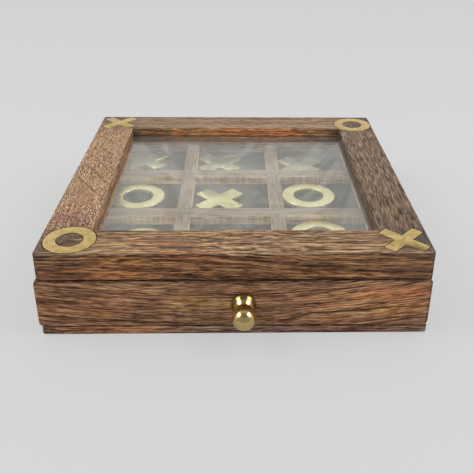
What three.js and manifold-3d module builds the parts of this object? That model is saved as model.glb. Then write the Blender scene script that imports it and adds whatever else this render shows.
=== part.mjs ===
// A tic-tac-toe box: a square wooden case with a glazed top, whose drawer is the playing tray.
// Lengths are in millimetres. X runs right, Y runs back and Z runs up, and the front is at -Y.
// The origin is the middle of the underside.

import * as THREE from "three";
import { mergeVertices } from "three/addons/utils/BufferGeometryUtils.js";
import Module from "manifold-3d";

const wasm = await Module();
wasm.setup();

// Overall sizes
const boxWidth = 203;
const boxDepth = 203;
const baseThickness = 5;
const caseWallHeight = 28.7;
const frameThickness = 15;

// Clearances
const seatGap = 0.05; // glue line or seat between two resting faces
const cutGap = 0.3; // saw line of a mitre, and the line round an inlay
const runningGap = 0.3; // round the drawer front and under the drawer
const overrun = 6; // how far a cutter passes the face it cuts
const mergeDistance = 0.0005; // points nearer than this are one point

// Base board
const baseCornerRadius = 0.6;
const baseEdgeRadius = 1;

// Case walls
const caseWallThickness = 11;
const caseRebateDepth = 5.5; // how far the back wall is let into each side wall
const cornerRadius = 2;

// Top frame
const railWidth = 25.5;
const railEdgeRadius = 0.8;
const glassThickness = 2.8;
const glassSink = 5.6; // from the frame's top down to the pane's upper face
const glassGrooveDepth = 4; // how far the pane's groove is cut into the rails
const glassPlay = 0.5; // between the pane's edge and the bottom of its groove

// Brass marks let into the frame's corners
const inlayThickness = 1.6;
const inlayRingRadius = 13.5;
const inlayRingHoleRadius = 7.1;
const inlayCrossLength = 27.2;
const inlayCrossArm = 6.7;
// How far in from the outer faces each mark sits, in shares of the rail's width
const inlayShares = {
  front_left_ring: [0.62, 0.6],
  back_right_ring: [0.565, 0.65],
  front_right_cross: [0.537, 0.57],
  back_left_cross: [0.55, 0.52],
};

// Drawer
const drawerFrontThickness = 12.5;
const drawerFrontOverhang = 0.55; // past the case at each end, when it stands in the middle
const drawerFrontShift = 0.95; // how far right of the drawer box's middle it is fixed
const drawerFrontCornerRadius = 2;
const drawerFrontEdgeRadius = 0.8;
const drawerSidePlay = 1.8; // between the drawer box and each case wall
const drawerBackPlay = 1.5;
const drawerHeadroom = 0.6; // between the tray and the frame above
const drawerWallThickness = 8.4;
const drawerRebateDepth = 4.2; // how far its front and back are let into its sides
const floorThickness = 3;
const grooveDepth = 3;
const floorPlay = 0.4; // between the floor panel's edge and the bottom of its groove
const liningThickness = 1;
const liningPlay = 0.3;

// Laths that divide the tray
const cellDepth = 7.2; // from the top of the laths to the lining
const lathThickness = 8.4;
const lathHousing = 2; // how far each lath end is let into the drawer's walls
const lathShift = -1.85; // the cross of laths sits a little left of the tray's middle
const middleColumnExtra = 1; // how much wider the laths stand apart than an even division
const lathEdgeRadius = 0.5;

// Loose pieces
const pieceThickness = 3;
const pieceEdge = 0.35; // small chamfer round each piece
const ringRadius = 17.1;
const ringHoleRadius = 9.7;
const crossLength = 33.6;
const crossArm = 10.3;
const pieceClearance = 0.3; // least space between a piece and the wall of its cell

// Knob and its screw
const knobOffset = 4.65; // right of the drawer front's middle
const knobLength = 18.4;
const knobBaseRadius = 6.65;
const knobCollar = 0.9;
const knobNeckRadius = 4.2;
const knobNeckLength = 4.3; // from the collar to the narrowest place, where the ball begins
const knobFlareShare = 1.3; // how early the flare draws in, as a power of the way still to go
const knobBallRadius = 5.85;
const knobBallReach = 6.8; // half the ball's length along the knob, so that it is a little long
const knobEdge = 0.3;
const tappedDepth = 7;
const screwRadius = 1.5;
const screwPlay = 0.3;
const screwGrip = 6; // length of thread inside the knob
const screwPointLength = 0.8; // of the cone that draws the shank in at its end
const screwPointRadius = 0.75;
const screwHeadRadius = 2.75;
const screwHeadTopRadius = 2.2;
const screwHeadHeight = 1.9;
const screwHeadRim = 0.65; // height of the head's straight rim
const screwHeadRoom = 0.3; // between the head and the floor panel above it
const screwSlotWidth = 0.8;
const screwSlotDepth = 0.9;

// Facets of the round work
const ringFacets = 44;
const knobFacets = 32;
const knobFlareSteps = 4;
const knobBallSteps = 10;
const screwFacets = 20;
const cornerFacets = 4;
const edgeFacets = 2;

// Heights of the layers
const caseWallBottom = baseThickness + seatGap;
const caseWallTop = caseWallBottom + caseWallHeight;
const frameBottom = caseWallTop + seatGap;
const frameTop = frameBottom + frameThickness;
const glassTop = frameTop - glassSink;
const glassBottom = glassTop - glassThickness;
const drawerBottom = baseThickness + runningGap;
const drawerFrontTop = frameBottom - runningGap;
const trayTop = frameBottom - drawerHeadroom;
const liningTop = trayTop - cellDepth;
const liningBottom = liningTop - liningThickness;
const floorTop = liningBottom - seatGap;
const floorBottom = floorTop - floorThickness;
const knobHeight = floorBottom - screwHeadRadius - screwHeadRoom;

// Places in plan
const caseFront = -boxDepth / 2;
const caseBack = boxDepth / 2;
const windowHalfWidth = boxWidth / 2 - railWidth;
const windowHalfDepth = boxDepth / 2 - railWidth;
const caseWallFront = caseFront + drawerFrontThickness + runningGap;
const drawerHalfWidth = boxWidth / 2 - caseWallThickness - drawerSidePlay;
const drawerBoxFront = caseFront + drawerFrontThickness + seatGap;
const drawerBoxBack = caseBack - caseWallThickness - drawerBackPlay;
const trayHalfWidth = drawerHalfWidth - drawerWallThickness;
const trayFront = drawerBoxFront + drawerWallThickness;
const trayBack = drawerBoxBack - drawerWallThickness;
const trayMiddle = (trayFront + trayBack) / 2;
const trayHalfDepth = (trayBack - trayFront) / 2;
const knobMiddle = drawerFrontShift + knobOffset;
const screwHoleRadius = screwRadius + screwPlay;

// The drawer has run over to the left as far as its play lets it
const drawerShift = runningGap - drawerSidePlay;

// The laths' centre lines stand a cell and a lath apart
const cellWidth = (2 * trayHalfWidth - 2 * lathThickness) / 3;
const cellLength = (2 * trayHalfDepth - 2 * lathThickness) / 3;
const lathOffsetX = (cellWidth + lathThickness + middleColumnExtra) / 2;
const lathOffsetY = (cellLength + lathThickness) / 2;

// Materials
const frameWood = new THREE.MeshStandardMaterial({ color: 0x94755c, roughness: 0.62, metalness: 0 });
const frontWood = new THREE.MeshStandardMaterial({ color: 0x75563f, roughness: 0.6, metalness: 0 });
const caseWood = new THREE.MeshStandardMaterial({ color: 0x6a4d3a, roughness: 0.65, metalness: 0 });
const trayWood = new THREE.MeshStandardMaterial({ color: 0xac8a6c, roughness: 0.7, metalness: 0 });
const lining = new THREE.MeshStandardMaterial({ color: 0x3c3d3b, roughness: 0.95, metalness: 0 });
const inlayBrass = new THREE.MeshStandardMaterial({ color: 0xc8b46e, roughness: 0.38, metalness: 1 });
const pieceBrass = new THREE.MeshStandardMaterial({ color: 0xd9cf95, roughness: 0.25, metalness: 1 });
const knobBrass = new THREE.MeshStandardMaterial({ color: 0xc9a452, roughness: 0.12, metalness: 1 });
const steel = new THREE.MeshStandardMaterial({ color: 0xb4b6b8, roughness: 0.3, metalness: 1 });
const glass = new THREE.MeshStandardMaterial({
  color: 0xe4ebe8,
  roughness: 0.05,
  metalness: 0,
  transparent: true,
  opacity: 0.3,
});

// Solid modelling helpers

function solid(geometry) {
  const bare = geometry.clone();
  bare.deleteAttribute("normal");
  bare.deleteAttribute("uv");
  const merged = mergeVertices(bare, mergeDistance);
  return new wasm.Manifold(
    new wasm.Mesh({
      numProp: 3,
      vertProperties: merged.attributes.position.array,
      triVerts: new Uint32Array(merged.index.array),
    }),
  );
}

function geometryOf(manifold) {
  const mesh = manifold.getMesh();
  const geometry = new THREE.BufferGeometry();
  geometry.setAttribute("position", new THREE.BufferAttribute(mesh.vertProperties, 3));
  geometry.setIndex(new THREE.BufferAttribute(mesh.triVerts, 1));
  geometry.computeVertexNormals();
  return geometry;
}

function part(name, shape, material) {
  const geometry = shape.isBufferGeometry ? shape : geometryOf(shape);
  const mesh = new THREE.Mesh(geometry, material);
  mesh.name = name;
  return mesh;
}

// A square-edged block between two corners.
function block(low, high) {
  const size = high.map((value, axis) => value - low[axis]);
  const middle = high.map((value, axis) => (value + low[axis]) / 2);
  return new THREE.BoxGeometry(...size).translate(...middle);
}

// A rectangle in plan, with its corners rounded by arcs.
function roundedRectangle(left, front, right, back, radius) {
  const outline = new THREE.Shape();
  outline.moveTo(left + radius, front);
  outline.lineTo(right - radius, front);
  outline.absarc(right - radius, front + radius, radius, -Math.PI / 2, 0);
  outline.lineTo(right, back - radius);
  outline.absarc(right - radius, back - radius, radius, 0, Math.PI / 2);
  outline.lineTo(left + radius, back);
  outline.absarc(left + radius, back - radius, radius, Math.PI / 2, Math.PI);
  outline.lineTo(left, front + radius);
  outline.absarc(left + radius, front + radius, radius, Math.PI, 1.5 * Math.PI);
  return outline;
}

// An outline drawn in plan and raised from one height to another, with its edges eased.
function raised(outline, bottom, top, edge = 0, steps = edgeFacets) {
  return new THREE.ExtrudeGeometry(outline, {
    depth: top - bottom - 2 * edge,
    bevelEnabled: edge > 0,
    bevelThickness: edge,
    bevelSize: edge,
    bevelOffset: -edge,
    bevelSegments: steps,
    curveSegments: cornerFacets,
  }).translate(0, 0, bottom + edge);
}

// The plan outline of an X: two crossed arms along the diagonals.
function crossOutline(length, arm) {
  const tip = length / 2;
  const half = arm / 2;
  const corner = [
    [half, half],
    [half, tip],
    [-half, tip],
  ];
  const points = [];
  for (let quarter = 0; quarter < 4; quarter++) {
    const turn = Math.PI / 4 + (quarter * Math.PI) / 2;
    for (const [x, y] of corner)
      points.push(new THREE.Vector2(x, y).rotateAround(new THREE.Vector2(), turn));
  }
  return new THREE.Shape(points);
}

function crossSolid(length, arm, bottom, top, edge) {
  return raised(crossOutline(length, arm), bottom, top, edge, 1);
}

// A flat ring, with its four rims chamfered by edge.
function ringSolid(outer, inner, bottom, top, edge) {
  const section = [
    [inner, bottom + edge],
    [inner + edge, bottom],
    [outer - edge, bottom],
    [outer, bottom + edge],
    [outer, top - edge],
    [outer - edge, top],
    [inner + edge, top],
    [inner, top - edge],
    [inner, bottom + edge],
  ];
  const points = section.map(([radius, height]) => new THREE.Vector2(radius, height));
  return new THREE.LatheGeometry(points, ringFacets).rotateX(Math.PI / 2);
}

// Top frame: one ring, grooved inside for the pane and cut into four mitred rails

const sides = ["front", "right", "back", "left"];

// The plan wedge that keeps one side of the frame, with half a saw line off each end.
function mitreWedge(side) {
  const saw = cutGap / Math.SQRT2;
  const along = (side % 2 ? boxDepth : boxWidth) / 2;
  const across = (side % 2 ? boxWidth : boxDepth) / 2;
  const far = railWidth + overrun;
  const wedge = new THREE.Shape([
    new THREE.Vector2(-along - overrun + saw, -across - overrun),
    new THREE.Vector2(along + overrun - saw, -across - overrun),
    new THREE.Vector2(along - far - saw, -across + far),
    new THREE.Vector2(-along + far + saw, -across + far),
  ]);
  const cutter = raised(wedge, frameBottom - overrun, frameTop + overrun);
  return solid(cutter.rotateZ((side * Math.PI) / 2));
}

function inlayPlaces() {
  const places = {};
  for (const [name, [acrossShare, alongShare]] of Object.entries(inlayShares)) {
    const x = boxWidth / 2 - railWidth * acrossShare;
    const y = boxDepth / 2 - railWidth * alongShare;
    places[name] = [name.includes("left") ? -x : x, name.includes("front") ? -y : y];
  }
  return places;
}

// A corner mark's shape, grown by a margin for its pocket.
function inlayShape(name, margin, bottom, top) {
  if (name.endsWith("ring")) {
    const outer = inlayRingRadius + margin;
    const inner = inlayRingHoleRadius - margin;
    return ringSolid(outer, inner, bottom, top, 0);
  }
  const length = inlayCrossLength + 2 * margin;
  return crossSolid(length, inlayCrossArm + 2 * margin, bottom, top, 0);
}

function frameRing() {
  const plan = roundedRectangle(
    -boxWidth / 2,
    caseFront,
    boxWidth / 2,
    caseBack,
    cornerRadius + railEdgeRadius,
  );
  const opening = [
    new THREE.Vector2(-windowHalfWidth, -windowHalfDepth),
    new THREE.Vector2(windowHalfWidth, -windowHalfDepth),
    new THREE.Vector2(windowHalfWidth, windowHalfDepth),
    new THREE.Vector2(-windowHalfWidth, windowHalfDepth),
  ];
  plan.holes.push(new THREE.Path(opening));
  let ring = solid(raised(plan, frameBottom, frameTop, railEdgeRadius));
  ring = ring.subtract(solid(paneBlock(glassGrooveDepth, seatGap)));
  for (const [name, [x, y]] of Object.entries(inlayPlaces())) {
    const pocketFloor = frameTop - inlayThickness - seatGap;
    const pocket = inlayShape(name, cutGap, pocketFloor, frameTop + overrun);
    ring = ring.subtract(solid(pocket.translate(x, y, 0)));
  }
  return ring;
}

// The pane's own block, past the window by a reach and thicker by a margin on both faces.
function paneBlock(reach, margin) {
  const halfWidth = windowHalfWidth + reach;
  const halfDepth = windowHalfDepth + reach;
  return block(
    [-halfWidth, -halfDepth, glassBottom - margin],
    [halfWidth, halfDepth, glassTop + margin],
  );
}

function makeFrame() {
  const frame = new THREE.Group();
  const ring = frameRing();
  sides.forEach((side, index) => {
    frame.add(part("frame_rail_" + side, ring.intersect(mitreWedge(index)), frameWood));
  });
  frame.add(part("glass_pane", paneBlock(glassGrooveDepth - glassPlay, 0), glass));
  for (const [name, [x, y]] of Object.entries(inlayPlaces())) {
    const shape = inlayShape(name, 0, frameTop - inlayThickness, frameTop);
    const mark = part("inlay_" + name, shape, inlayBrass);
    mark.position.set(x, y, 0);
    frame.add(mark);
  }
  return frame;
}

// Case: base board, two side walls rebated for the back wall, and the back wall

function makeBase() {
  const plan = roundedRectangle(
    -boxWidth / 2,
    caseFront,
    boxWidth / 2,
    caseBack,
    baseCornerRadius + baseEdgeRadius,
  );
  return part("base_board", raised(plan, 0, baseThickness, baseEdgeRadius), caseWood);
}

// The plan of the right-hand wall. The left-hand one is its mirror image.
function caseWallOutline(mirror) {
  const outer = boxWidth / 2;
  const inner = outer - caseWallThickness;
  const rebate = outer - caseRebateDepth;
  const shoulder = caseBack - caseWallThickness - seatGap;
  const corner = new THREE.Shape();
  corner.moveTo(inner, caseWallFront);
  corner.lineTo(outer, caseWallFront);
  corner.lineTo(outer, caseBack - cornerRadius);
  corner.absarc(outer - cornerRadius, caseBack - cornerRadius, cornerRadius, 0, Math.PI / 2);
  corner.lineTo(rebate, caseBack);
  corner.lineTo(rebate, shoulder);
  corner.lineTo(inner, shoulder);
  const points = corner.getPoints(cornerFacets);
  return new THREE.Shape(points.map((point) => new THREE.Vector2(point.x * mirror, point.y)));
}

function makeCase() {
  const carcase = new THREE.Group();
  carcase.add(makeBase());
  for (const [side, mirror] of [
    ["left", -1],
    ["right", 1],
  ]) {
    const wall = raised(caseWallOutline(mirror), caseWallBottom, caseWallTop);
    carcase.add(part("case_wall_" + side, wall, caseWood));
  }
  const reach = boxWidth / 2 - caseRebateDepth - seatGap;
  const back = block(
    [-reach, caseBack - caseWallThickness, caseWallBottom],
    [reach, caseBack, caseWallTop],
  );
  carcase.add(part("case_wall_back", back, caseWood));
  return carcase;
}

// Drawer: its box, floor, lining and front board

// A clearance hole for the knob's screw, along Y.
function screwHole(from, to) {
  const hole = new THREE.CylinderGeometry(screwHoleRadius, screwHoleRadius, to - from, screwFacets);
  return solid(hole.translate(knobMiddle, (from + to) / 2, knobHeight));
}

function makeDrawerFront() {
  const reach = boxWidth / 2 + drawerFrontOverhang;
  const face = roundedRectangle(
    drawerFrontShift - reach,
    drawerBottom,
    drawerFrontShift + reach,
    drawerFrontTop,
    drawerFrontCornerRadius + drawerFrontEdgeRadius,
  );
  const upright = raised(face, -drawerBoxFront + seatGap, -caseFront, drawerFrontEdgeRadius);
  const board = solid(upright.rotateX(Math.PI / 2));
  const bored = board.subtract(screwHole(caseFront - overrun, drawerBoxFront + overrun));
  return part("drawer_front", bored, frontWood);
}

// The groove that holds the floor panel, cut all round the inside of the drawer's walls.
function floorGroove() {
  return solid(
    block(
      [-trayHalfWidth - grooveDepth, trayFront - grooveDepth, floorBottom - seatGap],
      [trayHalfWidth + grooveDepth, trayBack + grooveDepth, floorTop + seatGap],
    ),
  );
}

// The seats for the lath ends, cut down into the walls as far as the lining.
function lathHousings() {
  const seats = [];
  const half = lathThickness / 2 + seatGap;
  const long = lathHousing + seatGap;
  const reach = trayHalfWidth + long;
  const top = trayTop + overrun;
  for (const way of [-1, 1]) {
    const x = lathShift + way * lathOffsetX;
    const y = trayMiddle + way * lathOffsetY;
    seats.push(block([-reach, y - half, liningTop], [reach, y + half, top]));
    seats.push(block([x - half, trayFront - long, liningTop], [x + half, trayBack + long, top]));
  }
  return seats.map(solid);
}

function makeDrawerWalls() {
  const walls = new THREE.Group();
  const cuts = [floorGroove(), ...lathHousings()];
  const housed = (shape) => cuts.reduce((left, cut) => left.subtract(cut), shape);
  const endReach = drawerHalfWidth - drawerRebateDepth - seatGap;

  for (const [side, way] of [
    ["left", -1],
    ["right", 1],
  ]) {
    const edges = [way * trayHalfWidth, way * drawerHalfWidth].sort((a, b) => a - b);
    let wall = solid(
      block([edges[0], drawerBoxFront, drawerBottom], [edges[1], drawerBoxBack, trayTop]),
    );
    const rebate = endReach + seatGap;
    for (const [from, to] of [
      [drawerBoxFront - overrun, trayFront + seatGap],
      [trayBack - seatGap, drawerBoxBack + overrun],
    ])
      wall = wall.subtract(
        solid(block([-rebate, from, drawerBottom - overrun], [rebate, to, trayTop + overrun])),
      );
    walls.add(part("drawer_wall_" + side, housed(wall), trayWood));
  }

  const end = (from, to) => solid(block([-endReach, from, drawerBottom], [endReach, to, trayTop]));
  const hole = screwHole(drawerBoxFront - overrun, trayFront + overrun);
  const innerFront = housed(end(drawerBoxFront, trayFront).subtract(hole));
  walls.add(part("drawer_inner_front", innerFront, trayWood));
  walls.add(part("drawer_wall_back", housed(end(trayBack, drawerBoxBack)), trayWood));
  return walls;
}

function makeDrawerFloor() {
  const floor = new THREE.Group();
  const edge = grooveDepth - floorPlay;
  const panel = block(
    [-trayHalfWidth - edge, trayFront - edge, floorBottom],
    [trayHalfWidth + edge, trayBack + edge, floorTop],
  );
  floor.add(part("drawer_floor", panel, trayWood));
  const sheet = block(
    [-trayHalfWidth + liningPlay, trayFront + liningPlay, liningBottom],
    [trayHalfWidth - liningPlay, trayBack - liningPlay, liningTop],
  );
  floor.add(part("tray_lining", sheet, lining));
  return floor;
}

// Laths: those across the tray run over the top, those from front to back pass under them

// One lath along X, centred on the origin, with its top edges eased.
function lathBar(halfLength, bottom, top) {
  const half = lathThickness / 2;
  const section = new THREE.Shape();
  section.moveTo(-half, bottom);
  section.lineTo(half, bottom);
  section.lineTo(half, top - lathEdgeRadius);
  section.lineTo(half - lathEdgeRadius, top);
  section.lineTo(-half + lathEdgeRadius, top);
  section.lineTo(-half, top - lathEdgeRadius);
  const bar = new THREE.ExtrudeGeometry(section, { depth: 2 * halfLength, bevelEnabled: false });
  bar.translate(0, 0, -halfLength);
  return bar.rotateX(Math.PI / 2).rotateZ(Math.PI / 2);
}

// A lath with a halving notch at each crossing, cut between the given heights.
function halvedLath(halfLength, bottom, crossings, notchBottom, notchTop) {
  const half = lathThickness / 2 + seatGap;
  let bar = solid(lathBar(halfLength, bottom, trayTop));
  for (const at of crossings) {
    const low = [at - half, -half - overrun, notchBottom];
    const high = [at + half, half + overrun, notchTop];
    bar = bar.subtract(solid(block(low, high)));
  }
  return bar;
}

function makeLaths() {
  const laths = new THREE.Group();
  const bottom = liningTop + seatGap;
  const seat = (bottom + trayTop) / 2; // where the two laths of a crossing meet
  const acrossLength = trayHalfWidth + lathHousing;
  const alongLength = trayHalfDepth + lathHousing;
  const acrossCrossings = [lathShift - lathOffsetX, lathShift + lathOffsetX];
  const alongCrossings = [-lathOffsetY, lathOffsetY];

  for (const [name, way] of [
    ["front", -1],
    ["back", 1],
  ]) {
    const notchTop = seat + seatGap;
    const bar = halvedLath(acrossLength, bottom, acrossCrossings, bottom - overrun, notchTop);
    const lath = part("lath_across_" + name, bar, trayWood);
    lath.position.y = trayMiddle + way * lathOffsetY;
    laths.add(lath);
  }

  for (const [name, way] of [
    ["left", -1],
    ["right", 1],
  ]) {
    const bar = halvedLath(alongLength, bottom, alongCrossings, seat, trayTop + overrun);
    const lath = part("lath_along_" + name, bar, trayWood);
    lath.position.set(lathShift + way * lathOffsetX, trayMiddle, 0);
    lath.rotation.z = Math.PI / 2;
    laths.add(lath);
  }
  return laths;
}

// Knob: turned about its own Y axis, which points out of the drawer front

// A piece turned from a profile of radii and distances along its axis.
function turned(profile, facets) {
  const points = profile.map(([radius, out]) => new THREE.Vector2(radius, out));
  return new THREE.LatheGeometry(points, facets);
}

function makeKnob() {
  const ballMiddle = knobLength - knobBallReach;
  const neckAngle = Math.asin(knobNeckRadius / knobBallRadius);
  const flare = knobBaseRadius - knobEdge - knobNeckRadius;
  const profile = [
    [0, tappedDepth],
    [screwHoleRadius, tappedDepth],
    [screwHoleRadius, 0],
    [knobBaseRadius - knobEdge, 0],
    [knobBaseRadius, knobEdge],
    [knobBaseRadius, knobCollar],
  ];
  for (let step = 1; step <= knobFlareSteps; step++) {
    const share = step / knobFlareSteps;
    const radius = knobNeckRadius + flare * (1 - share) ** knobFlareShare;
    profile.push([radius, knobCollar + knobNeckLength * share]);
  }
  for (let step = 0; step <= knobBallSteps; step++) {
    const angle = neckAngle + ((Math.PI - neckAngle) * step) / knobBallSteps;
    const radius = step === knobBallSteps ? 0 : knobBallRadius * Math.sin(angle);
    profile.push([radius, ballMiddle - knobBallReach * Math.cos(angle)]);
  }
  const knob = part("knob", turned(profile, knobFacets), knobBrass);
  knob.position.set(knobMiddle, caseFront - seatGap, knobHeight);
  knob.rotation.x = Math.PI;
  return knob;
}

// The screw runs from inside the drawer box, through both boards, into the knob.
function makeKnobScrew() {
  const shank = trayFront + seatGap - caseFront + screwGrip;
  const profile = [
    [0, -screwHeadHeight],
    [screwHeadTopRadius, -screwHeadHeight],
    [screwHeadRadius, -screwHeadRim],
    [screwHeadRadius, 0],
    [screwRadius, 0],
    [screwRadius, shank - screwPointLength],
    [screwPointRadius, shank],
    [0, shank],
  ];
  const slot = block(
    [-screwHeadRadius - overrun, -screwHeadHeight - overrun, -screwSlotWidth / 2],
    [screwHeadRadius + overrun, -screwHeadHeight + screwSlotDepth, screwSlotWidth / 2],
  );
  const shape = solid(turned(profile, screwFacets)).subtract(solid(slot));
  const screw = part("knob_screw", shape, steel);
  screw.position.set(knobMiddle, trayFront + seatGap, knobHeight);
  screw.rotation.x = Math.PI;
  return screw;
}

// Loose pieces: rows run from the back of the tray to its front

// Each entry gives the piece's kind, how far it lies from its cell's middle in shares of its
// free play, and its turn in degrees.
const pieceRestShares = [
  [
    ["x", -0.985, 0.29, -2],
    ["x", -0.98, -0.29, 1],
    ["x", -0.97, -0.868, 0],
  ],
  [
    ["o", -0.826, 0.094, 0],
    ["x", -0.84, -0.508, 0],
    ["o", -0.975, 0.277, 0],
  ],
  [
    ["o", 0.97, -0.366, 0],
    ["x", 0.25, -0.55, 6],
    ["o", -0.73, 0.97, 0],
  ],
];

// How far an X reaches from its middle when it lies turned by an angle.
function crossReach(turn) {
  const lean = Math.PI / 4 - Math.abs(turn);
  return (crossLength / 2) * Math.cos(lean) + (crossArm / 2) * Math.sin(lean);
}

// The two walls that bound a cell, first to third, along one axis.
function cellSpan(index, low, high, middle, offset) {
  const half = lathThickness / 2;
  const from = [low, middle - offset + half, middle + offset + half];
  const to = [middle - offset - half, middle + offset - half, high];
  return [from[index], to[index]];
}

function restPlace(span, reach, share) {
  const play = (span[1] - span[0]) / 2 - reach - pieceClearance;
  return (span[0] + span[1]) / 2 + play * share;
}

function makePieces() {
  const pieces = new THREE.Group();
  const count = { x: 0, o: 0 };
  const bottom = liningTop + seatGap;
  pieceRestShares.forEach((row, rowIndex) => {
    const depthSpan = cellSpan(2 - rowIndex, trayFront, trayBack, trayMiddle, lathOffsetY);
    row.forEach(([kind, shareX, shareY, degrees], column) => {
      const widthSpan = cellSpan(column, -trayHalfWidth, trayHalfWidth, lathShift, lathOffsetX);
      const turn = THREE.MathUtils.degToRad(degrees);
      const reach = kind === "x" ? crossReach(turn) : ringRadius;
      const shape =
        kind === "x"
          ? crossSolid(crossLength, crossArm, bottom, bottom + pieceThickness, pieceEdge)
          : ringSolid(ringRadius, ringHoleRadius, bottom, bottom + pieceThickness, pieceEdge);
      count[kind] += 1;
      const piece = part(kind + "_piece_" + count[kind], shape, pieceBrass);
      piece.position.x = restPlace(widthSpan, reach, shareX);
      piece.position.y = restPlace(depthSpan, reach, shareY);
      piece.rotation.z = turn;
      pieces.add(piece);
    });
  });
  return pieces;
}

const drawer = new THREE.Group();
drawer.add(
  makeDrawerFront(),
  makeDrawerWalls(),
  makeDrawerFloor(),
  makeLaths(),
  makeKnob(),
  makeKnobScrew(),
  makePieces(),
);
drawer.position.x = drawerShift;

const box = new THREE.Group();
box.add(makeCase(), makeFrame(), drawer);

export default box;
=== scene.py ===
"""Dresses the tic-tac-toe box in timber, brass, glass and felt, in a plain studio.

Every length is in metres, in the model's own frame: X right, Y back, Z up, the front at -Y.
"""

import math

import bmesh
import bpy
from bpy.props import FloatProperty, FloatVectorProperty, IntProperty, PointerProperty
from mathutils import Matrix, Vector, noise


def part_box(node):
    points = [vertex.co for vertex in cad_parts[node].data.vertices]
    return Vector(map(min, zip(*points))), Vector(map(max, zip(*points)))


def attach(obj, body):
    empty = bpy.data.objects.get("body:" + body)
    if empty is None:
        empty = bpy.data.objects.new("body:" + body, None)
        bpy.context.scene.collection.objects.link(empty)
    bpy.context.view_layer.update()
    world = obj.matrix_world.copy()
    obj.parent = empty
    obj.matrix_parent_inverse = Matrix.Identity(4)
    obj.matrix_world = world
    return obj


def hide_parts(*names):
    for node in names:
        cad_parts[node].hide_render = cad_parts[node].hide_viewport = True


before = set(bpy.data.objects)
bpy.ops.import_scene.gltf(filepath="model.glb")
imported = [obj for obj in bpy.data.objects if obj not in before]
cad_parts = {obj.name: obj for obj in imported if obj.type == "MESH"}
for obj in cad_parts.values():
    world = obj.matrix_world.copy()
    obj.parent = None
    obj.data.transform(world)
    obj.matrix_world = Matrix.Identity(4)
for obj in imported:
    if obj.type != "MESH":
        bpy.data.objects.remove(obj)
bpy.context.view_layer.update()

bl_info = {
    "name": "Tic-tac-toe box",
    "version": (1, 0, 0),
    "blender": (4, 5, 0),
    "location": "3D View > Sidebar > Tic-tac-toe box",
    "description": "Builds the visible pieces of a glazed tic-tac-toe box and its studio",
    "category": "Object",
}

MM = 0.001
IN_MM = (1 / MM,) * 3
QUARTER = math.pi / 2
SIDES = ("front", "right", "back", "left")
WHITE = (1.0, 1.0, 1.0)
# Corners closer than this are one corner, in a shape made here and in a copy of a solid
SAME_POINT = 0.001 * MM
SAME_CORNER = 0.002 * MM


# Reading the packed model


def middle_of(node):
    low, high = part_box(node)
    return (low + high) / 2


def plan_radii(node):
    """The distances of a node's corners from its middle, seen from above."""
    middle = middle_of(node)
    return sorted((v.co - middle).to_2d().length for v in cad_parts[node].data.vertices)


def nodes_named(start):
    return sorted(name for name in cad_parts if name.startswith(start))


# Sizes and colours that a user would change


def number(name, description, default, **limits):
    return FloatProperty(name=name, description=description, default=default, **limits)


def numbers(name, description, default, **limits):
    return FloatVectorProperty(
        name=name, description=description, default=default, size=len(default), **limits
    )


def length(name, description, default):
    return number(name, description, default, min=0, unit="LENGTH")


def colour(name, description, default):
    return numbers(name, description, default, min=0, max=1, subtype="COLOR")


def tint(name, description, default):
    return numbers(name, description, default, min=0)


class FrameSizes(bpy.types.PropertyGroup):
    """The hand finish of the mitred top frame and its window."""

    edge: length("Edge", "Radius of the eased outer edges of the rails", 0.8 * MM)
    corner: length("Corner", "Radius of the frame's four corners, seen from above", 2.8 * MM)
    wear: length("Wear", "Most that handling has taken off an edge", 0.16 * MM)
    seat: length("Seat", "Play between the pane and the groove that holds it", 0.05 * MM)
    groove_play: length("Groove play", "Play between the pane and the groove's floor", 0.5 * MM)
    saw_line: length("Saw line", "Width of the joint at each mitre", 0.16 * MM)
    pocket_line: length("Pocket line", "Gap between a brass mark and its pocket", 0.48 * MM)
    arris: length("Arris", "Ground edge of the glass pane", 0.25 * MM)


class BoardSizes(bpy.types.PropertyGroup):
    """The edges of the case and the drawer."""

    base_edge: length("Base edge", "Radius round the base board's top and underside", 1.0 * MM)
    base_corner: length("Base corner", "Radius of the base board's corners in plan", 1.6 * MM)
    front_edge: length("Front edge", "Radius round the drawer front's face", 0.8 * MM)
    front_corner: length("Front corner", "Radius of the drawer front's corners", 2.4 * MM)
    joinery_edge: length("Joinery edge", "Sandpapered edge of every inner board", 0.3 * MM)
    lath_edge: length("Lath edge", "Sandpapered edge of the dividing laths", 0.15 * MM)
    felt_edge: length("Felt edge", "Cut edge of the lining", 0.2 * MM)


class BrassSizes(bpy.types.PropertyGroup):
    """The playing pieces, the corner marks and the knob."""

    mark_arm: length("Mark arm", "Width of the arms of the frame's two crosses", 6.7 * MM)
    piece_arm: length("Piece arm", "Width of the arms of a playing cross", 10.3 * MM)
    piece_edge: length("Piece edge", "Radius round a playing piece's rims", 0.35 * MM)
    mark_edge: length("Mark edge", "Radius round a corner mark's rims", 0.08 * MM)
    # Pieces wholly behind this Y get painted shade on their faces
    back_row_shade_from: length("Dulled from", "Pieces wholly behind this Y are dulled", 28.0 * MM)
    knob_collar: length("Knob collar", "Height of the knob's straight foot", 1.6 * MM)
    knob_neck: length("Knob neck", "Radius where the flare meets the ball", 4.2 * MM)
    knob_flare: length("Knob flare", "Length of the flare between the foot and the neck", 3.6 * MM)
    knob_ball: length("Knob ball", "Radius of the knob's ball", 6.1 * MM)
    knob_ball_reach: length("Knob ball reach", "Half the ball's length", 6.3 * MM)
    knob_bore: length("Knob bore", "Radius of the tapped hole in the knob", 1.8 * MM)
    knob_bore_depth: length("Knob bore depth", "Depth of the tapped hole", 7.0 * MM)
    knob_rim: length("Knob rim", "Radius round the foot's edge", 0.3 * MM)
    screw_edge: length("Screw edge", "Radius round the screw's edges", 0.05 * MM)
    turning_steps: IntProperty(
        name="Turning steps", description="Facets round turned brass", default=96, min=12
    )


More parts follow.
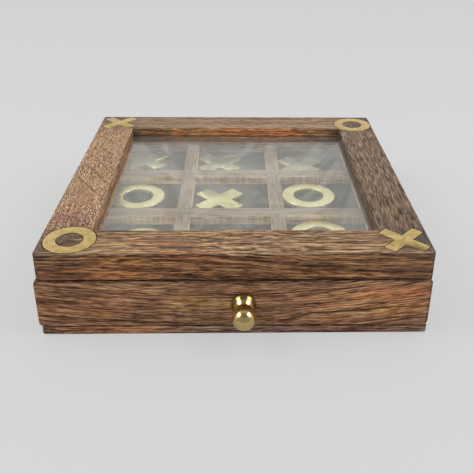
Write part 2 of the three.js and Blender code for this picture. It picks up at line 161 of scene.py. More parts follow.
class TimberColours(bpy.types.PropertyGroup):
    """The tones of the stained hardwood and of the plainer tray wood."""

    pore: colour("Pores", "Open pores and the darkest lines", (0.016, 0.008, 0.005))
    dark: colour("Dark grain", "Latewood", (0.072, 0.032, 0.015))
    middle: colour("Middle", "Most of the timber", (0.190, 0.094, 0.044))
    light: colour("Light", "Earlywood between the lines", (0.360, 0.208, 0.110))
    pale: colour("Pale", "The palest flecks", (0.560, 0.390, 0.230))
    smoke: colour("Smoked corners", "Where the corners were darkened", (0.070, 0.052, 0.042))
    tray: colour("Tray wood", "The unstained laths and drawer sides", (0.680, 0.520, 0.350))
    tray_dark: colour("Tray grain", "Grain lines of the unstained wood", (0.300, 0.210, 0.140))
    # Painted shade that darkens the upward faces of the tray wood
    painted_top_shade: tint("Handled", "How handling changed the tray's upper edges", (0.41, 0.41, 0.42))
    felt: colour("Felt", "The lining under the playing pieces", (0.048, 0.044, 0.035))
    red: tint("Red", "How a red patch changes the timber", (1.25, 0.84, 0.66))
    gold: tint("Gold", "How a yellow patch changes the timber", (1.22, 1.26, 0.98))
    char: tint("Char", "How a burnt patch changes the timber", (0.30, 0.27, 0.27))
    # Char also darkens places as painted shade: the seam under the frame, the shaded ends and the
    # sunk faces
    plum: tint("Plum", "How a purple patch changes the timber", (0.74, 0.66, 0.86))
    # Bare also lightens the back rail's shaded inner wall, as painted light
    bare: tint("Bare", "How wood that took less stain changes", (1.55, 1.45, 1.30))


class BrassColours(bpy.types.PropertyGroup):
    """The finishes of the same brass."""

    mark: colour("Marks", "Satin brass of the corner marks", (0.735, 0.568, 0.248))
    piece: colour("Pieces", "Pale brass of the playing pieces", (1.000, 0.950, 0.520))
    # Painted shade: the darker face tone of the back row's pieces
    back_row_shade: colour("Dulled", "Faces of the back row's pieces", (0.580, 0.560, 0.390))
    knob: colour("Knob", "Polished brass of the knob", (0.920, 0.710, 0.310))
    tarnish: colour("Tarnish", "Dull spots on the satin brass", (0.500, 0.350, 0.125))


class StudioSettings(bpy.types.PropertyGroup):
    """The camera, the lamps and the pale surroundings."""

    camera_place: numbers(
        "Camera place", "Where it stands", (0.00109, -0.38481, 0.22255), subtype="TRANSLATION"
    )
    camera_pitch: number("Pitch", "How far the camera looks down", 0.44533, subtype="ANGLE")
    camera_yaw: number("Yaw", "How far the camera looks left", -0.03086, subtype="ANGLE")
    camera_roll: number("Roll", "How far the camera leans", 0.01311, subtype="ANGLE")
    camera_focal: number("Focal length", "Lens for a 36 mm sensor, in mm", 50.370)
    camera_shift: numbers(
        "Shift", "How far the picture sits right of and above the lens axis", (-0.0409, -0.1097)
    )
    lamp_radiance: number("Lamp radiance", "Brightness of each softbox's face", 4.0, min=0)
    lamp_size: length("Lamp size", "Width of each softbox", 0.62)
    lamp_place: numbers(
        "Lamp place", "Where the right softbox stands", (0.9, -0.12, 0.9), subtype="TRANSLATION"
    )
    sky_strength: number("Sky strength", "Diffuse light of the pale room", 0.98, min=0)
    front_share: number("Front share", "Part of that light that comes from the front", 0.32)
    bright_wall: number("Bright wall", "What metal and glass show of the back wall", 1.25)
    dim_wall: number("Dim wall", "What they show of the front wall and ceiling", 0.38)
    floor_glow: number("Floor glow", "How far the floor evens out its own light", 0.72)
    floor_shown: number("Floor shown", "How bright the floor is in metal", 0.36)
    backdrop: colour("Backdrop", "Floor and surroundings", (0.637, 0.637, 0.637))
    room: colour("Room", "What metal and glass show of the room", (0.648, 0.632, 0.595))


SETTINGS = {
    "top_frame": FrameSizes,
    "boards": BoardSizes,
    "brass": BrassSizes,
    "timber_colours": TimberColours,
    "brass_colours": BrassColours,
    "studio": StudioSettings,
}


def setting(group):
    return getattr(bpy.context.scene, "box_" + group)


# Node trees


class Bench:
    """Sets out the nodes of one tree and joins them by plain calls."""

    def __init__(self, tree):
        self.tree = tree

    def node(self, kind, inputs=None, **settings):
        made = self.tree.nodes.new(kind)
        for key, value in settings.items():
            setattr(made, key, value)
        self.fill(made, inputs or {})
        return made

    def fill(self, node, inputs):
        for key, value in inputs.items():
            self.feed(node.inputs[key], value)

    def feed(self, socket, value):
        if isinstance(value, bpy.types.NodeSocket):
            self.tree.links.new(value, socket)
        else:
            socket.default_value = value

    def maths(self, operation, a, b=None):
        made = self.node("ShaderNodeMath", {0: a}, operation=operation)
        if b is not None:
            self.feed(made.inputs[1], b)
        return made.outputs[0]

    def plus(self, a, b):
        return self.maths("ADD", a, b)

    def minus(self, a, b):
        return self.maths("SUBTRACT", a, b)

    def times(self, a, b):
        return self.maths("MULTIPLY", a, b)

    def part(self, vector, axis):
        return self.node("ShaderNodeSeparateXYZ", {0: vector}).outputs[axis]

    def joined(self, parts):
        """A vector of the parts that are given by number, with 0 for the others."""
        return self.node("ShaderNodeCombineXYZ", parts).outputs[0]

    def in_mm(self):
        """The place on the object, in millimetres."""
        place = self.node("ShaderNodeTexCoord").outputs["Object"]
        return self.vector("MULTIPLY", place, IN_MM)

    def upward(self):
        """How far a face looks up, which is 1 on a top and 0 on a side."""
        return self.part(self.node("ShaderNodeNewGeometry").outputs["Normal"], "Z")

    def mixed_shader(self, amount, a, b):
        inputs = {0: amount, 1: a.outputs[0], 2: b.outputs[0]}
        return self.node("ShaderNodeMixShader", inputs)

    def vector(self, operation, a, b):
        made = self.node("ShaderNodeVectorMath", {0: a, 1: b}, operation=operation)
        return made.outputs["Value" if operation == "LENGTH" else "Vector"]

    def noise(self, place, stretch, detail=2.0, roughness=0.5, output="Fac"):
        """Cloudy noise whose three frequencies are given in cycles per unit of place."""
        stretched = self.vector("MULTIPLY", place, stretch)
        made = self.node(
            "ShaderNodeTexNoise",
            {"Vector": stretched, "Scale": 1.0, "Detail": detail, "Roughness": roughness},
        )
        return made.outputs[output]

    def between(self, value, low, high, to_low=0.0, to_high=1.0):
        """Value, spread so that low gives to_low and high gives to_high, and held at both ends."""
        inputs = {
            "Value": value,
            "From Min": low,
            "From Max": high,
            "To Min": to_low,
            "To Max": to_high,
        }
        made = self.node("ShaderNodeMapRange", inputs, interpolation_type="SMOOTHSTEP")
        return made.outputs["Result"]

    def mix(self, amount, a, b, blend="MIX"):
        made = self.node("ShaderNodeMix", data_type="RGBA", blend_type=blend)
        self.feed(made.inputs[0], amount)
        for socket, value in ((made.inputs[6], a), (made.inputs[7], b)):
            if not isinstance(value, bpy.types.NodeSocket):
                value = (*value, 1.0)[:4]
            self.feed(socket, value)
        return made.outputs[2]

    def ramp(self, value, stops):
        """A colour ramp through (place, colour) stops."""
        made = self.node("ShaderNodeValToRGB", {"Fac": value})
        elements = made.color_ramp.elements
        while len(elements) < len(stops):
            elements.new(1.0)
        for element, (place, tone) in zip(elements, stops):
            element.position = place
            element.color = (*tone, 1.0)
        return made.outputs["Color"]

    def bump(self, height, distance, strength=1.0):
        made = self.node(
            "ShaderNodeBump", {"Height": height, "Distance": distance, "Strength": strength}
        )
        return made.outputs["Normal"]


def emptied(owner):
    """The bench of a material or a world, with no node on it."""
    owner.use_nodes = True
    owner.node_tree.nodes.clear()
    return Bench(owner.node_tree)


def new_material(name):
    """A node material, its bench and its Principled shader."""
    material = bpy.data.materials.new(name)
    bench = emptied(material)
    shader = bench.node("ShaderNodeBsdfPrincipled")
    bench.node("ShaderNodeOutputMaterial", {"Surface": shader.outputs[0]})
    return material, bench, shader


def scaled(tone, by):
    return tuple(min(channel * by, 1.0) for channel in tone)


def tinted(tone, by):
    return tuple(min(channel * share, 1.0) for channel, share in zip(tone, by))


# Timber


class Figure:
    """How one board's grain runs and how strongly it shows.

    Lengths are in millimetres, and rates in cycles a millimetre."""

    seed = (0.0, 0.0, 0.0)
    grain = "X"
    bow = (0.0, 0.0)
    slip = (0.0, 0.0, 1.0)
    wave = 2.5
    ripple = 0.9
    heart = (6.0, -28.0)
    ring_rate = 0.16
    line = (0.018, 1.05, 1.05)
    fibre = (0.09, 1.90, 1.90)
    pore = (0.13, 1.90, 1.90)
    fleck = (0.14, 2.00, 2.00)
    fleck_depth = 0.35
    vein = 0.65
    top = WHITE
    shares = (0.18, 0.40, 0.42)
    spread = (0.40, 0.60)
    pore_depth = 0.70
    red = 0.55
    gold = 0.45
    tint = WHITE
    patches = ()
    speckle = 0.0
    painted_side_light = False
    painted_shade_below = 0.0
    smoke = 0.0
    smoke_from = 0.0
    smoke_to = 1.0
    relief = 0.14
    gloss = 0.50

    def __init__(self, **changes):
        for name, value in changes.items():
            if not hasattr(self, name):
                raise ValueError("no such figure: " + name)
            setattr(self, name, value)


# Painted light that brightens the sides of a lath in streaks, where they stand in the tray's shade
PAINTED_SIDE_LIGHT = ((0.38, (1.02, 1.00, 0.95)), (0.62, (1.44, 1.46, 1.44)))
GRAIN_TURNS = {"X": (0.0, 0.0, 0.0), "Y": (0.0, 0.0, -QUARTER)}
# How far a face looks up where it begins to count as a top, and where it wholly does
TOP_FACE = (0.3, 0.6)


def grain_place(bench, figure):
    """Object coordinates in millimetres, and the same turned so that the grain runs along X."""
    place = bench.node("ShaderNodeTexCoord").outputs["Object"]
    inputs = {
        "Vector": place,
        "Location": figure.seed,
        "Rotation": GRAIN_TURNS[figure.grain],
        "Scale": IN_MM,
    }
    board = bench.node("ShaderNodeMapping", inputs).outputs[0]
    return bench.vector("MULTIPLY", place, IN_MM), board


def bent_grain(bench, place, board, figure):
    """The board's place, pushed sideways so that straight grain lines come out wavy."""
    slow = ((0.009, 0.030, 0.030), 1.0, 2 * figure.wave)
    quick = ((0.045, 0.150, 0.150), 2.0, 2 * figure.ripple)
    bent = board
    for stretch, detail, most in (slow, quick):
        push = bench.noise(board, stretch, detail, output="Color")
        push = bench.vector("SUBTRACT", push, (0.5, 0.5, 0.5))
        bent = bench.vector("ADD", bent, bench.vector("MULTIPLY", push, (0.0, most, most)))
    along = bench.part(place, figure.grain)
    drops = []
    rise, middle = figure.bow
    if rise:
        off = bench.minus(along, middle)
        drops.append(bench.times(bench.times(off, off), -rise))
    fall, start, end = figure.slip
    if fall:
        drops.append(bench.between(along, start, end, 0.0, fall))
    for drop in drops:
        bent = bench.vector("ADD", bent, bench.joined({2: drop}))
    return bent


def growth_bands(bench, bent, figure):
    """Bands that follow the growth rings round a heart outside the board."""
    heart = (0.0, *figure.heart)
    from_heart = bench.vector("MULTIPLY", bench.vector("SUBTRACT", bent, heart), (0.0, 1.0, 1.0))
    ring = bench.times(bench.vector("LENGTH", from_heart, (0, 0, 0)), figure.ring_rate)
    return bench.node(
        "ShaderNodeTexNoise",
        {"W": ring, "Scale": 1.0, "Detail": 5.0, "Roughness": 0.78},
        noise_dimensions="1D",
    ).outputs["Fac"]


def veins(bench, bent, fibre):
    """Long thin lines that run side by side and fade in and out."""
    field = bench.noise(bent, (0.0035, 0.045, 0.045), 1.5, 0.5)
    wave = bench.maths("PINGPONG", bench.times(field, 52.0), 1.0)
    line = bench.between(wave, 0.40, 0.05)
    return bench.times(line, bench.between(fibre, 0.62, 0.40, 0.15, 1.0))


def patch_mask(bench, place, ragged, at, reach, turn=(0.0, 0.0, 0.0)):
    """1 inside an ellipsoid with ragged edges and 0 outside it."""
    mapping = bench.node(
        "ShaderNodeMapping",
        {
            "Vector": place,
            "Location": at,
            "Rotation": [math.radians(degrees) for degrees in turn],
            "Scale": reach,
        },
        vector_type="TEXTURE",
    )
    out = bench.vector("LENGTH", mapping.outputs[0], (0, 0, 0))
    return bench.between(bench.plus(out, ragged), 1.05, 0.45)


def timber(name, figure, tones):
    """Open-grained hardwood: growth bands, lines, fibres, pores, patches and smoked ends, with
    painted light and shade on tops, lath sides, sunk faces and some patches.

    tones gives five colours, from the pores to the palest flecks."""
    tones = [tinted(tone, figure.tint) for tone in tones]
    colours = setting("timber_colours")
    material, bench, shader = new_material(name)
    place, board = grain_place(bench, figure)
    bent = bent_grain(bench, place, board, figure)
    upward = bench.upward()
    if figure.speckle:
        # Only the top is cut across the fibres, so on the other faces they are drawn out
        drawn = bench.between(upward, *TOP_FACE, 0.12, 1.0)
        bent = bench.vector("MULTIPLY", bent, bench.joined({0: drawn, 1: 1.0, 2: 1.0}))

    fibre = bench.noise(bent, figure.fibre, 2.5, 0.62)
    layers = (growth_bands(bench, bent, figure), bench.noise(bent, figure.line, 3.0, 0.6), fibre)
    bands, lines, fibres = map(bench.times, layers, figure.shares)
    spread = bench.between(bench.plus(bench.plus(bands, lines), fibres), *figure.spread)
    body = bench.ramp(spread, list(zip((0.0, 0.18, 0.44, 0.76, 1.0), tones)))

    for number, kind in enumerate(("red", "gold")):
        shifted = bench.vector("ADD", bent, (40.0 * number, 17.0, 9.0))
        patch = bench.between(bench.noise(shifted, (0.014, 0.075, 0.075), 2.0), 0.48, 0.66)
        amount = bench.times(patch, getattr(figure, kind))
        body = bench.mix(amount, body, getattr(colours, kind), "MULTIPLY")
    if figure.vein:
        amount = bench.times(veins(bench, bent, fibre), figure.vein)
        body = bench.mix(amount, body, tones[1])
    pore = bench.between(bench.noise(bent, figure.pore, 1.5, 0.5), 0.57, 0.67)
    body = bench.mix(bench.times(pore, figure.pore_depth), body, tones[0])
    fleck = bench.vector("ADD", bent, (7.0, 31.0, 23.0))
    fleck = bench.between(bench.noise(fleck, figure.fleck, 1.0, 0.5), 0.58, 0.68)
    body = bench.mix(bench.times(fleck, figure.fleck_depth), body, tones[4])
    height = bench.minus(bench.times(fibre, 0.8), pore)
    # Painted light: the sides of a lath are lightened in streaks
    if figure.painted_side_light:
        marks = bench.ramp(bench.noise(place, (0.95, 0.95, 0.05), 2.0, 0.6), PAINTED_SIDE_LIGHT)
        body = bench.mix(bench.between(upward, 0.3, 0.1), body, marks, "MULTIPLY")
    # Painted light and shade: upward faces get a tone of their own, a painted sheen on the rail
    # tops and painted shade on the tray's tops
    if figure.top != WHITE:
        body = bench.mix(bench.between(upward, *TOP_FACE), body, figure.top, "MULTIPLY")
    # Painted shade on upward faces sunk below the given height: the pockets' floors and the
    # groove's ledge
    if figure.painted_shade_below:
        painted_shade_below = bench.between(bench.part(place, "Z"), figure.painted_shade_below, figure.painted_shade_below - 0.2)
        painted_shade_below = bench.times(painted_shade_below, bench.between(upward, 0.5, 0.7))
        body = bench.mix(painted_shade_below, body, colours.char, "MULTIPLY")
    if figure.speckle:
        spots = bench.between(bench.noise(board, (0.80, 1.75, 1.75), 1.0, 0.5), 0.48, 0.60)
        spots = bench.times(spots, bench.between(upward, *TOP_FACE, 0.0, figure.speckle))
        body = bench.mix(spots, body, tones[1])
        height = bench.minus(height, spots)
    if figure.patches:
        cloud = bench.noise(board, (0.14, 0.50, 0.50), 2.0)
        ragged = bench.times(bench.minus(cloud, 0.5), 1.6)
        for kind, amount, *where in figure.patches:
            mask = bench.times(patch_mask(bench, place, ragged, *where), amount)
            body = bench.mix(mask, body, getattr(colours, kind), "MULTIPLY")
    if figure.smoke:
        body = smoked(bench, place, board, body, figure)
    finish = {
        "Base Color": body,
        "Roughness": bench.plus(bench.times(pore, 0.18), figure.gloss),
        "Normal": bench.bump(height, figure.relief * MM),
        "Specular IOR Level": 0.28,
    }
    bench.fill(shader, finish)
    return material


def smoked(bench, place, board, body, figure):
    """Darkens the board towards its two mitred ends."""
    along = bench.part(place, figure.grain)
    cloud = bench.noise(board, (0.05, 0.10, 0.10), 2.0)
    cloud = bench.times(bench.minus(cloud, 0.5), 40.0)
    reach = bench.plus(bench.maths("ABSOLUTE", along), cloud)
    amount = bench.between(reach, figure.smoke_from, figure.smoke_to, 0.0, figure.smoke)
    return bench.mix(amount, body, setting("timber_colours").smoke)


def hardwood(name, **changes):
    tones = setting("timber_colours")
    return timber(
        name, Figure(**changes), (tones.pore, tones.dark, tones.middle, tones.light, tones.pale)
    )


def tray_wood(name, **changes):
    """The paler, plainer wood inside the drawer."""
    colours = setting("timber_colours")
    plain = dict(
        pore_depth=0.25,
        fleck_depth=0.1,
        vein=0.25,
        red=0.1,
        gold=0.15,
        relief=0.08,
        gloss=0.62,
        # Painted shade on the upward faces of the tray wood
        top=tuple(colours.painted_top_shade),
    )
    shades = [scaled(colours.tray, by) for by in (0.80, 0.94, 1.06, 1.2)]
    return timber(name, Figure(**plain, **changes), (colours.tray_dark, *shades))


# Brass, steel, glass and felt


def brass(name, tone, tarnish, roughness, cloud, scratch, face=None, painted_shade_ramp=None):
    """Solid brass with clouded tarnish and fine rubbing marks.

    face gives upward faces a tone of their own, used as painted shade on the back row's pieces.
    The last argument is (start, end, stops) of painted shade along Y."""
    material, bench, shader = new_material(name)
    place = bench.in_mm()
    patch = bench.noise(place, (0.28, 0.28, 0.28), 4.0, 0.66)
    dull = bench.between(patch, 0.40, 0.66, 0.0, cloud)
    body = bench.mix(dull, tone, tarnish)
    warm = bench.between(bench.noise(place, (0.45, 0.45, 0.9), 3.0, 0.6), 0.50, 0.70, 0.0, cloud)
    body = bench.mix(warm, body, (1.0, 0.88, 0.62), "MULTIPLY")
    if face:
        body = bench.mix(bench.between(bench.upward(), 0.85, 0.97), body, face)
    # Painted shade: a ramp of darker tones along Y
    if painted_shade_ramp:
        start, end, stops = painted_shade_ramp
        painted_shade_tone = bench.ramp(bench.between(bench.part(place, "Y"), start / MM, end / MM), stops)
        body = bench.mix(1.0, body, painted_shade_tone, "MULTIPLY")
    rubbed = bench.noise(place, (0.25, 3.2, 0.25), 3.0, 0.6)
    rough = bench.between(rubbed, 0.3, 0.7, roughness * (1 - scratch), roughness * (1 + scratch))
    bump = bench.bump(rubbed, 0.01 * MM, scratch)
    finish = {"Base Color": body, "Roughness": rough, "Normal": bump, "Metallic": 1.0}
    bench.fill(shader, finish)
    return material


def steel(name):
    material, bench, shader = new_material(name)
    place = bench.in_mm()
    patch = bench.noise(place, (0.6, 0.6, 0.6), 3.0)
    tone = bench.mix(patch, (0.50, 0.50, 0.50), (0.62, 0.62, 0.61))
    rough = bench.between(patch, 0.3, 0.7, 0.22, 0.36)
    bench.fill(shader, {"Base Color": tone, "Roughness": rough, "Metallic": 1.0})
    return material


def window_glass(name):
    """Slightly hazy glass that lets the lamps' light through to the tray."""
    material, bench, shader = new_material(name)
    clear_glass = {
        "Base Color": (0.97, 0.985, 0.975, 1.0),
        "Roughness": 0.0,
        "IOR": 1.5,
        "Transmission Weight": 0.975,
    }
    bench.fill(shader, clear_glass)
    rays = bench.node("ShaderNodeLightPath").outputs
    lit = bench.maths("MAXIMUM", rays["Is Shadow Ray"], rays["Is Diffuse Ray"])
    clear = bench.node("ShaderNodeBsdfTransparent", {"Color": (0.94, 0.95, 0.94, 1.0)})
    both = bench.mixed_shader(lit, shader, clear)
    output = next(n for n in material.node_tree.nodes if n.type == "OUTPUT_MATERIAL")
    bench.fill(output, {"Surface": both.outputs[0]})
    return material


def felt(name):
    """Short grey nap, mottled, with a soft sheen."""
    material, bench, shader = new_material(name)
    place = bench.in_mm()
    nap = bench.noise(place, (1.6, 1.6, 1.6), 4.0, 0.7)
    tone = setting("timber_colours").felt
    body = bench.mix(bench.between(nap, 0.3, 0.7), scaled(tone, 0.75), scaled(tone, 1.25))
    finish = {
        "Base Color": body,
        "Normal": bench.bump(nap, 0.3 * MM),
        "Roughness": 0.95,
        "Sheen Weight": 0.3,
        "Specular IOR Level": 0.15,
    }
    bench.fill(shader, finish)
    return material


# Mesh work


def linked(name, data):
    """A new object in the scene."""
    made = bpy.data.objects.new(name, data)
    bpy.context.scene.collection.objects.link(made)
    return made


def discard(holder):
    """Takes a working object away with its mesh."""
    old = holder.data
    bpy.data.objects.remove(holder)
    bpy.data.meshes.remove(old)


def mesh_of(work, name):
    """The mesh that a bmesh holds, which is freed."""
    mesh = bpy.data.meshes.new(name)
    work.to_mesh(mesh)
    work.free()
    return mesh


def new_piece(name, mesh, material, body, slot, *nodes):
    """A finished piece that rides on its body and stands for its nodes."""
    piece = linked(name, mesh)
    mesh.name = name
    mesh.materials.clear()
    mesh.materials.append(material)
    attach(piece, body)
    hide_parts(*nodes)


def shade(mesh, sharp_over=35.0):
    mesh.polygons.foreach_set("use_smooth", [True] * len(mesh.polygons))
    mesh.set_sharp_from_angle(angle=math.radians(sharp_over))
    mesh.update()


def loft(rings):
    """A skin over loops of points, each loop joined to the next, with flat ends."""
    work = bmesh.new()
    loops = [[work.verts.new(point) for point in ring] for ring in rings]
    count = len(rings[0])
    for lower, upper in zip(loops, loops[1:]):
        for i in range(count):
            j = (i + 1) % count
            work.faces.new((lower[i], lower[j], upper[j], upper[i]))
    work.faces.new(loops[0][::-1])
    work.faces.new(loops[-1])
    bmesh.ops.recalc_face_normals(work, faces=work.faces)
    return mesh_of(work, "loft")


def eased_levels(bottom, top, edge):
    """(inset, height) levels of a slab whose upper and lower edges are quarter rounds."""
    steps, support = 4, 0.4 * MM
    turns = [QUARTER * step / steps for step in range(steps + 1)]
    lower = [(edge * (1 - math.sin(t)), bottom + edge * (1 - math.cos(t))) for t in turns]
    upper = [(inset, bottom + top - height) for inset, height in reversed(lower)]
    return [(edge + support, bottom), *lower, *upper, (edge + support, top)]


def rounded_outline(low, high, corner, inset, steps=8, stride=6 * MM):
    """A rounded rectangle's points, with its straight sides divided evenly."""
    radius = max(corner - inset, 0.02 * MM)
    left, front = low[0] + inset, low[1] + inset
    right, back = high[0] - inset, high[1] - inset
    centres = [
        (right - radius, front + radius, -QUARTER),
        (right - radius, back - radius, 0.0),
        (left + radius, back - radius, QUARTER),
        (left + radius, front + radius, 2 * QUARTER),
    ]
    arcs = []
    for x, y, start in centres:
        turns = [start + QUARTER * step / steps for step in range(steps + 1)]
        arcs.append([Vector((x + radius * math.cos(t), y + radius * math.sin(t))) for t in turns])
    points = []
    divisions = [max(2, round((high[axis] - low[axis]) / stride)) for axis in (0, 1)]
    for index, arc in enumerate(arcs):
        points += arc
        following = arcs[(index + 1) % len(arcs)][0]
        count = divisions[(index + 1) % 2]
        points += [arc[-1].lerp(following, step / count) for step in range(1, count)]
    return points


def slab(low, high, levels, corner, upright=False, **detail):
    """A board with rounded corners, lofted through (inset, place) levels.

    The levels rise along Z, or go back along Y for an upright board."""
    across, along = (0, 2) if upright else (0, 1)
    flat_low, flat_high = ((end[across], end[along]) for end in (low, high))
    rings = []
    for inset, place in levels:
        points = rounded_outline(flat_low, flat_high, corner, inset, **detail)
        rings.append([(x, place, y) if upright else (x, y, place) for x, y in points])
    return loft(rings)


def ease_edges(holder, edge):
    bevel = holder.modifiers.new("eased", "BEVEL")
    bevel.width = edge
    bevel.segments = 2
    bevel.limit_method = "ANGLE"
    bevel.angle_limit = math.radians(40)
    bevel.harden_normals = True
    bevel.use_clamp_overlap = True


def eased_copy(node, edge):
    """A copy of a node's solid with its doubles merged and every hard edge eased."""
    work = bmesh.new()
    work.from_mesh(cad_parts[node].data)
    bmesh.ops.remove_doubles(work, verts=work.verts, dist=SAME_CORNER)
    flat = math.radians(1.0)
    bmesh.ops.dissolve_limit(work, angle_limit=flat, verts=work.verts, edges=work.edges)
    holder = linked(node + "_copy", mesh_of(work, node + "_copy"))
    ease_edges(holder, edge)
    finished = baked_mesh(holder)
    shade(finished)
    return finished


def baked_mesh(holder):
    """The mesh that an object's modifiers give, with the object itself removed."""
    bpy.context.view_layer.update()
    graph = bpy.context.evaluated_depsgraph_get()
    finished = bpy.data.meshes.new_from_object(holder.evaluated_get(graph))
    discard(holder)
    return finished


def lathe(profile, middle, start, way, steps):
    """Turns (radius, reach) points round an axis along Y.

    The axis starts at a depth and runs its way, 1 for back and -1 for front."""
    work = bmesh.new()
    loops = []
    for step in range(steps):
        turn = 2 * math.pi * step / steps
        right, up = math.cos(turn), math.sin(turn)
        ring = [(middle.x + r * right, start + way * y, middle.z + r * up) for r, y in profile]
        loops.append([work.verts.new(point) for point in ring])
    for here, there in zip(loops, loops[1:] + loops[:1]):
        for i in range(len(profile) - 1):
            work.faces.new((here[i], here[i + 1], there[i + 1], there[i]))
    bmesh.ops.remove_doubles(work, verts=work.verts, dist=SAME_POINT)
    bmesh.ops.recalc_face_normals(work, faces=work.faces)
    return mesh_of(work, "turned")


# Top frame: four rails of one grooved section, mitred, with pockets for the brass marks


def rail_section(sizes):
    """The rail's section as (in from the outer face, height) points, anticlockwise."""
    low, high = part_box("frame_rail_front")
    pane_low, pane_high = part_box("glass_pane")
    wide = high.y - low.y
    tall = high.z - low.z
    groove_floor = pane_low.y - sizes.groove_play - low.y
    groove_low = pane_low.z - sizes.seat - low.z
    groove_high = pane_high.z + sizes.seat - low.z
    edge = sizes.edge
    under = edge / 2
    steps, support = 5, 0.35 * MM

    def arc(x, z, start, radius=edge):
        turns = [start + QUARTER * step / steps for step in range(steps + 1)]
        return [(x + radius * math.cos(t), z + radius * math.sin(t)) for t in turns]

    points = [*arc(under, under, 2 * QUARTER, under), (under + support, 0.0)]
    points += [(wide - under - support, 0.0), *arc(wide - under, under, 3 * QUARTER, under)]
    points += [(wide, groove_low), (groove_floor, groove_low)]
    points += [(groove_floor, groove_high), (wide, groove_high)]
    points += [(wide, tall - edge - support), *arc(wide - edge, tall - edge, 0.0)]
    points += [(wide - edge - support, tall), (wide / 2, tall), (edge + support, tall)]
    points += [*arc(edge, tall - edge, QUARTER), (0.0, tall - edge - support)]
    points += [(0.0, tall / 2), (0.0, under + support)]
    return points


def rail_mesh(side, sizes):
    """One rail, swept along its side, with each end cut on the mitre."""
    low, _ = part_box("frame_rail_front")
    reach = -low.y
    stations, wear_rate = 72, 90
    section = rail_section(sizes)
    rings = []
    for station in range(stations + 1):
        way = 2 * station / stations - 1
        ring = []
        for inward, height in section:
            half = reach - inward - sizes.saw_line / math.sqrt(2)
            ring.append(Vector((way * half, -reach + inward, low.z + height)))
        rings.append(ring)
    mesh = loft(rings)
    round_outer_corners(mesh, reach, sizes.corner)
    seed = Vector((3.1, 1.7, 0.4)) * (side + 1)
    for vertex in mesh.vertices:
        if vertex.co.z < low.z + sizes.edge:
            continue
        much = noise.noise(vertex.co * wear_rate + seed) * 0.5 + 0.5
        vertex.co -= vertex.normal * (sizes.wear * much)
    mesh.transform(Matrix.Rotation(side * QUARTER, 4, "Z"))
    mesh.update()
    return mesh


def round_outer_corners(mesh, reach, corner):
    """Draws the two outer tips of a rail in to the frame's rounded corner."""
    for vertex in mesh.vertices:
        x, y = abs(vertex.co.x), -vertex.co.y
        over_x, over_y = x - (reach - corner), y - (reach - corner)
        if over_x <= 0 or over_y <= 0:
            continue
        out = math.hypot(over_x, over_y)
        if out > corner:
            pull = corner / out
            vertex.co.x = math.copysign(reach - corner + over_x * pull, vertex.co.x)
            vertex.co.y = -(reach - corner + over_y * pull)


def cut(mesh, cutters):
    """The mesh with each cutter's solid taken out of it."""
    holder = linked("board", mesh)
    tools = [linked("cutter", cutter) for cutter in cutters]
    for tool in tools:
        boolean = holder.modifiers.new("pocket", "BOOLEAN")
        boolean.object = tool
        boolean.operation = "DIFFERENCE"
        boolean.solver = "MANIFOLD"
    finished = baked_mesh(holder)
    for tool in tools:
        discard(tool)
    return finished


# Brass shapes: a flat ring and a flat cross, each made by a tree of geometry nodes


RING_INPUTS = {
    **dict.fromkeys(("Outer radius", "Hole radius", "Thickness", "Rim radius"), "NodeSocketFloat"),
    "Steps": "NodeSocketInt",
    "Place": "NodeSocketVector",
}
CROSS_INPUTS = {
    **dict.fromkeys(("Length", "Arm width", "Thickness", "Turn"), "NodeSocketFloat"),
    "Place": "NodeSocketVector",
}


def shape_tree(name, inputs, build):
    """A tree with named inputs for its sizes and material, made once and then used again."""
    tree = bpy.data.node_groups.get(name)
    if tree:
        return tree
    tree = bpy.data.node_groups.new(name, "GeometryNodeTree")
    for label, kind in (*inputs.items(), ("Material", "NodeSocketMaterial")):
        tree.interface.new_socket(label, in_out="INPUT", socket_type=kind)
    tree.interface.new_socket("Shape", in_out="OUTPUT", socket_type="NodeSocketGeometry")
    bench = Bench(tree)
    given = bench.node("NodeGroupInput").outputs
    real = bench.node("GeometryNodeRealizeInstances", {0: build(bench, given)})
    coated = {"Geometry": real.outputs[0], "Material": given["Material"]}
    finished = bench.node("GeometryNodeSetMaterial", coated)
    bench.node("NodeGroupOutput", {0: finished.outputs[0]})
    return tree


def build_ring(bench, given):
    """Sweeps a rectangle with rounded corners round a circle."""
    both = bench.plus(given["Outer radius"], given["Hole radius"])
    wide = bench.minus(given["Outer radius"], given["Hole radius"])
    circle = bench.node(
        "GeometryNodeCurvePrimitiveCircle",
        {"Resolution": given["Steps"], "Radius": bench.times(both, 0.5)},
    )
    section = bench.node(
        "GeometryNodeCurvePrimitiveQuadrilateral", {"Width": wide, "Height": given["Thickness"]}
    )
    rounded = bench.node(
        "GeometryNodeFilletCurve",
        {"Curve": section.outputs[0], "Count": 3, "Radius": given["Rim radius"]},
        mode="POLY",
    )
    swept = bench.node(
        "GeometryNodeCurveToMesh",
        {"Curve": circle.outputs[0], "Profile Curve": rounded.outputs[0]},
    )
    placed = {"Geometry": swept.outputs[0], "Translation": given["Place"]}
    moved = bench.node("GeometryNodeTransform", placed)
    return moved.outputs[0]


